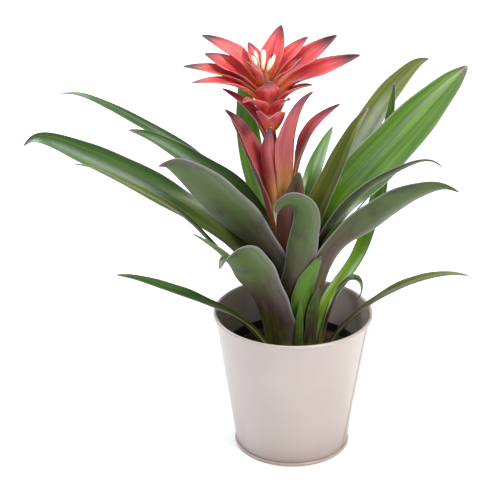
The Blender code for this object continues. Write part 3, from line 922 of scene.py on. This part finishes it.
CORAL = bract_finish("bract_coral", (0.80, 0.27, 0.07), (0.74, 0.155, 0.135), (0.52, 0.055, 0.075),
                     (0.19, 0.055, 0.075), 11)
CORAL_BACK = bract_finish("bract_coral_back", (0.76, 0.25, 0.09), (0.68, 0.15, 0.14),
                          (0.46, 0.065, 0.08), (0.15, 0.06, 0.07), 14)
MAROON = bract_finish("bract_maroon", (0.46, 0.13, 0.07), (0.23, 0.060, 0.062),
                      (0.090, 0.050, 0.025), (0.065, 0.060, 0.030), 17)
ROSE = bract_finish("bract_rose", (0.48, 0.26, 0.07), (0.50, 0.105, 0.105), (0.27, 0.050, 0.065),
                    (0.16, 0.050, 0.070), 21)
DUSKY = bract_finish("bract_dusky", (0.80, 0.27, 0.07), (0.72, 0.150, 0.135), (0.50, 0.055, 0.075),
                     (0.085, 0.034, 0.042), 25, tip_from=0.68)
BRACT_EDGE = leaf_margin("bract_margin", (0.60, 0.32, 0.30), 19)
print("bract finishes: coral, coral back, maroon, rose, dusky tipped and edge")

# %% [markdown]
# ## Flower stem
# The stem is a plain rod that leans as it rises, seen only in gaps between bracts. A bevelled
# curve could make it, but a ring drawn up through its route gives the same rod as one closed
# mesh.

# %% Flower stem
SCAPE_RADIUS = 3.6 * MM
SCAPE_ROUTE = [(0, 0, BASE), (-1, 0, 130), (-4, 0, 165), (-8, 0, 205), (-13, 0, 250), (-19, 0, 290),
               (-24, 0, 320), (-26, 0, 345)]


def stem_finish():
    """Smooth reddish brown, a little mottled."""
    made, tree, shader = new_material("stem_tissue")
    cloud = clouds(tree, 140.0, 4.0)
    body = mix(tree, grey_ramp(tree, cloud, 0.35, 0.65), (0.26, 0.09, 0.05), (0.42, 0.20, 0.09))
    tree.links.new(body, shader.inputs["Base Color"])
    tree.links.new(grey_ramp(tree, cloud, 0.3, 0.7, 0.4, 0.6), shader.inputs["Roughness"])
    return made


def flower_stem():
    """The leaning rod that carries the bracts."""
    bpy.ops.object.select_all(action="DESELECT")
    bpy.ops.mesh.primitive_circle_add(vertices=16, radius=SCAPE_RADIUS, fill_type="NGON")
    piece = bpy.context.object
    piece.name = "scape_skin"
    bpy.ops.object.mode_set(mode="EDIT")
    bpy.ops.mesh.select_all(action="SELECT")
    bpy.ops.transform.translate(value=(0, 0, BASE * MM))
    for start, end in zip(SCAPE_ROUTE, SCAPE_ROUTE[1:]):
        step = [(there - here) * MM for here, there in zip(start, end)]
        bpy.ops.mesh.extrude_region_move(TRANSFORM_OT_translate={"value": step})
    bpy.ops.mesh.select_all(action="SELECT")
    bpy.ops.mesh.normals_make_consistent(inside=False)
    bpy.ops.object.mode_set(mode="OBJECT")
    alone(piece)
    bpy.ops.object.shade_smooth_by_angle(angle=math.radians(50))
    piece.data.materials.append(stem_finish())
    belongs(piece, "stem_tissue", "scape")


flower_stem()
print("flower stem:", len(SCAPE_ROUTE), "rings")


def scape_centre(height):
    """The middle of the flower stem at a height."""
    for low, high in zip(SCAPE_ROUTE, SCAPE_ROUTE[1:]):
        if height <= high[2]:
            return Vector(low).lerp(Vector(high), (height - low[2]) / (high[2] - low[2]))
    return Vector(SCAPE_ROUTE[-1])


# %% [markdown]
# The first table gives each bract on the stem its compass direction, width, roll and midrib. The
# second gives each bract of the head the height it springs from as well, and its midrib as steps
# outwards and upwards from the stem. All are in millimetres.

# %% Bract tables
STEM_BRACTS = {
    "bract_stem_front": (270, 28, 0, [(-2, -12, 172), (-3, -16, 196), (-2, -19, 217), (0, -22, 240),
                                      (4, -25, 268)]),
    "bract_stem_left_broad": (185, 25, -38, [(-19, -3, 205), (-26, -5, 234), (-32, -6, 262),
                                             (-40, -6, 287), (-49, -5, 304), (-59, -5, 315)]),
    "bract_stem_left_olive": (165, 15, -15, [(-19, 12, 215), (-30, 13, 241), (-40, 13, 268),
                                             (-48, 13, 288), (-55, 13, 302)]),
    "bract_stem_right": (5, 17, 30, [(1, 9, 238), (4, 9, 262), (9, 9, 280), (15, 9, 295),
                                     (25, 9, 306), (38, 9, 316)]),
    "bract_stem_left_high": (180, 15, -25, [(-21, 1, 270), (-28, 1, 292), (-36, 1, 309),
                                            (-48, 1, 322), (-61, 1, 331)]),
    "bract_stem_right_high": (312, 23, 0, [(-6, -6, 236), (-5, -9, 264), (-4, -12, 291),
                                           (1, -13, 312), (7, -12, 325), (15, -10, 333)]),
    "bract_stem_front_high": (262, 17, 0, [(-16, -8, 232), (-19, -9, 254), (-22, -12, 276),
                                           (-22, -16, 293), (-20, -19, 305)]),
}
HEAD_BRACTS = {
    "bract_low_front": (267, 26, 0, 295, [(5, 0), (13, 13), (24, 21), (31, 21)]),
    "bract_low_right": (306, 17, 0, 301, [(5, 0), (12, 15), (20, 25), (28, 28)]),
    "bract_low_front_left": (231, 18, 0, 306, [(5, 0), (14, 13), (25, 21), (33, 22)]),
    "bract_low_right_side": (337, 16, 5, 312, [(5, 0), (16, 14), (29, 24), (40, 28)]),
    "bract_left_droop": (195, 16, -10, 318, [(5, 0), (20, 14), (42, 22), (64, 23)]),
    "bract_back_right": (42, 17, 10, 312, [(5, 0), (17, 12), (29, 20), (42, 26)]),
    "bract_left_long": (183, 18, -20, 322, [(5, 0), (20, 14), (45, 25), (69, 29)]),
    "bract_right_long": (0, 23, 34, 319, [(5, 0), (20, 15), (46, 29), (77, 42)]),
    "bract_front_cup": (277, 23, 0, 316, [(5, 0), (11, 11), (16, 19), (18, 28)]),
    "bract_back_left": (130, 17, -10, 314, [(5, 0), (16, 13), (28, 21), (40, 25)]),
    "bract_left_mid": (176, 23, -30, 327, [(5, 0), (20, 14), (36, 25), (51, 33)]),
    "bract_right_upper": (9, 25, 34, 325, [(5, 0), (20, 17), (40, 35), (59, 50)]),
    "bract_left_upper": (160, 21, -18, 334, [(5, 0), (20, 17), (38, 29), (57, 37)]),
    "bract_back": (92, 17, 0, 322, [(5, 0), (12, 12), (20, 20), (28, 24)]),
    "bract_right_small": (346, 14, 20, 331, [(5, 0), (12, 10), (22, 20), (30, 29)]),
    "bract_inner_left": (210, 17, -10, 336, [(5, 0), (10, 10), (17, 21)]),
    "bract_right_peak": (22, 20, 20, 334, [(5, 0), (14, 13), (26, 27), (38, 38)]),
    "bract_back_peak": (62, 22, 10, 337, [(5, 0), (12, 13), (20, 28), (28, 42)]),
    "bract_left_peak": (135, 17, -10, 340, [(5, 0), (11, 12), (20, 27)]),
    "bract_inner_right": (45, 13, 5, 343, [(4.5, 0), (7, 8), (10, 17)]),
}
print("bract tables:", len(STEM_BRACTS), "on the stem,", len(HEAD_BRACTS), "in the head")

# %% [markdown]
# ## Growing the bracts
# A bract is broad low down and runs to a point, cupped like a spoon. It is made from the same
# blank as a leaf, since it is one, with its own outline and a thinner skin. A few of those in the
# head have weathered dark tips.

# %% Grow the bracts
BRACT_ROWS = 12
BRACT_COLUMNS = 6
BRACT_THICKNESS = 0.6 * MM
STEM_BRACT_FOOT = 0.5      # width of a bract's foot, as a share of its full width
HEAD_BRACT_FOOT = 0.4


def bract(name, route, heading, width, roll, foot_share, faces):
    """One bract, pointed and cupped."""
    half = width * MM / 2

    def half_width(share):
        """Broadest at the middle, then running to a point."""
        settle = math.sin(min(share / 0.5, 1.0) * math.pi / 2)
        grown = half * (foot_share + (1 - foot_share) * settle)
        return grown * max((1 - share ** 3.2) ** 0.9, 0.06)

    def depth(share):
        """Cupped most at the foot."""
        return 1.3 - 0.3 * share

    piece = blank(name + "_blade", BRACT_ROWS, BRACT_COLUMNS)
    channel(piece, BRACT_COLUMNS, 0.9)
    taper(piece, BRACT_ROWS, half_width, depth)
    lay_along(piece, [place * MM for place in route], heading, roll)
    skin(piece, BRACT_THICKNESS, faces, 2)
    belongs(piece, "bract_tissue", name)
    return piece


DARK_TIPPED = {"bract_left_upper", "bract_left_long", "bract_right_upper", "bract_right_long",
               "bract_low_right_side"}
ROSY = {"bract_stem_right_high", "bract_stem_front_high", "bract_stem_left_high"}
bracts = []
for name, (heading, width, roll, points) in STEM_BRACTS.items():
    bracts.append(bract(name, [Vector(point) for point in points], heading, width, roll,
                        STEM_BRACT_FOOT, (ROSE, ROSE if name in ROSY else MAROON, BRACT_EDGE)))
for name, (heading, width, roll, foot, points) in HEAD_BRACTS.items():
    turn = Matrix.Rotation(math.radians(heading), 3, "Z")
    route = [turn @ Vector((out, 0, up)) + scape_centre(foot) for out, up in points]
    faces = (DUSKY, DUSKY) if name in DARK_TIPPED else (CORAL, CORAL_BACK)
    bracts.append(bract(name, route, heading, width, roll, HEAD_BRACT_FOOT,
                        (*faces, BRACT_EDGE)))
print("bracts:", len(bracts))

# %% [markdown]
# ## Buds
# A few pale tubular buds stand up in the middle of the head. Each is a ring drawn up into a
# narrow closed tube with a swollen middle.


# %% Buds
def bud_finish():
    """Soft cream petals that let a little light through."""
    made, tree, shader = new_material("floret_cream")
    cloud = clouds(tree, 400.0, 3.0)
    body = mix(tree, grey_ramp(tree, cloud, 0.3, 0.7), (0.80, 0.74, 0.55), (0.92, 0.90, 0.80))
    tree.links.new(body, shader.inputs["Base Color"])
    tree.links.new(grey_ramp(tree, cloud, 0.3, 0.7, 0.4, 0.55), shader.inputs["Roughness"])
    shader.inputs["Subsurface Weight"].default_value = 0.15
    shader.inputs["Subsurface Radius"].default_value = (0.002, 0.002, 0.001)
    return made


CREAM = bud_finish()
FLORETS = {          # foot, length, lean and the direction of the lean, in millimetres and degrees
    "floret_left": ((-31, -2, 349), 13, 24, 190),
    "floret_front": ((-27, -5, 349), 13, 22, 275),
    "bud_right": ((-22, -2, 348), 14, 20, 5),
    "bud_back": ((-26, 4, 349), 14, 18, 95),
    "bud_middle": ((-26.5, -1, 350), 15, 4, 180),
    "bud_back_left": ((-30, 3, 349), 14, 22, 140),
    "bud_front_right": ((-23.5, -4.5, 348), 13, 24, 310),
}


BUD_OUTLINE = [(0.9, 0.0), (1.3, 0.25), (1.7, 0.55), (1.5, 0.78), (1.0, 0.92), (0.35, 1.0)]


def bud(name, foot, length, lean, heading):
    """One closed bud, swollen above its middle, leaning outwards."""
    tall = length * MM
    piece = rings(name + "_tube", [(radius * MM, share * tall) for radius, share in BUD_OUTLINE],
                  closed=False, steps=12)
    bpy.ops.object.mode_set(mode="OBJECT")
    piece.matrix_world = (Matrix.Translation(Vector(foot) * MM)
                          @ Matrix.Rotation(math.radians(heading), 4, "Z")
                          @ Matrix.Rotation(math.radians(lean), 4, "Y"))
    alone(piece)
    bpy.ops.object.transform_apply(location=True, rotation=True, scale=True)
    bpy.ops.object.shade_smooth()
    piece.data.materials.append(CREAM)
    belongs(piece, "floret_tissue", *([name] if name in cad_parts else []))


for name, facts in FLORETS.items():
    bud(name, *facts)
print("buds:", len(FLORETS))
